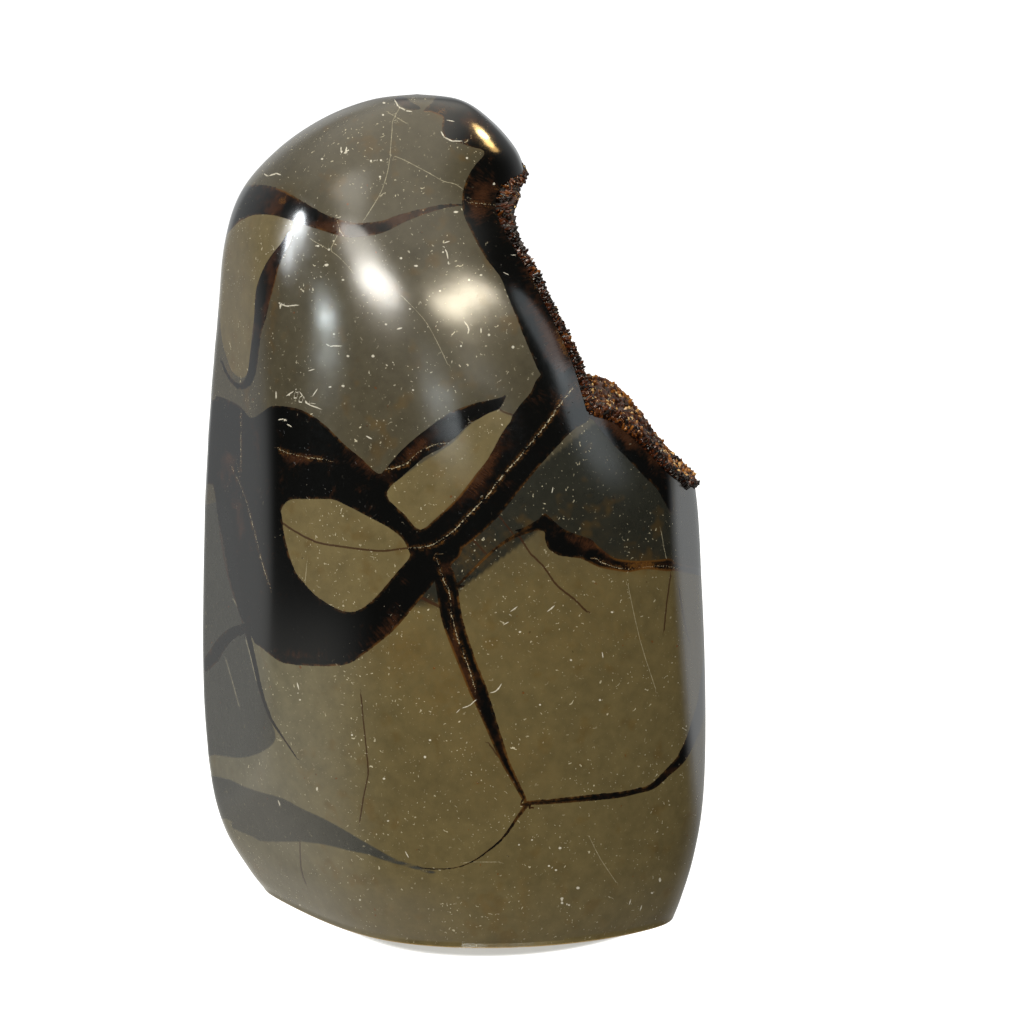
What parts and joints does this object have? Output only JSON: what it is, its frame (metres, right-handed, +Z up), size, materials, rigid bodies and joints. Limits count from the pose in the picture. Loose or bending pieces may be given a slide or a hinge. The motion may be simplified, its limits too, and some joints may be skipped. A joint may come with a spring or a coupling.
{
  "type": "septarian nodule",
  "caption": "Polished freeform septarian stone that stands on a sawn flat base, with dark calcite veins and an open crystal-lined hollow at its upper side.",
  "frame": {"origin": "centre of the bounding box at the sawn base, on the surface the stone stands on", "axes": "+Z up along the stone's height, +X to the hollow's side, -Y out of the broad polished face"},
  "size_m": [0.1202, 0.0786, 0.19],
  "materials": {
    "polished_stone": "polished",
    "calcite_crystals": "crystalline"
  },
  "bodies": {
    "root": {"nodule": "polished_stone", "crystal_crust": "calcite_crystals"}
  },
  "joints": []
}
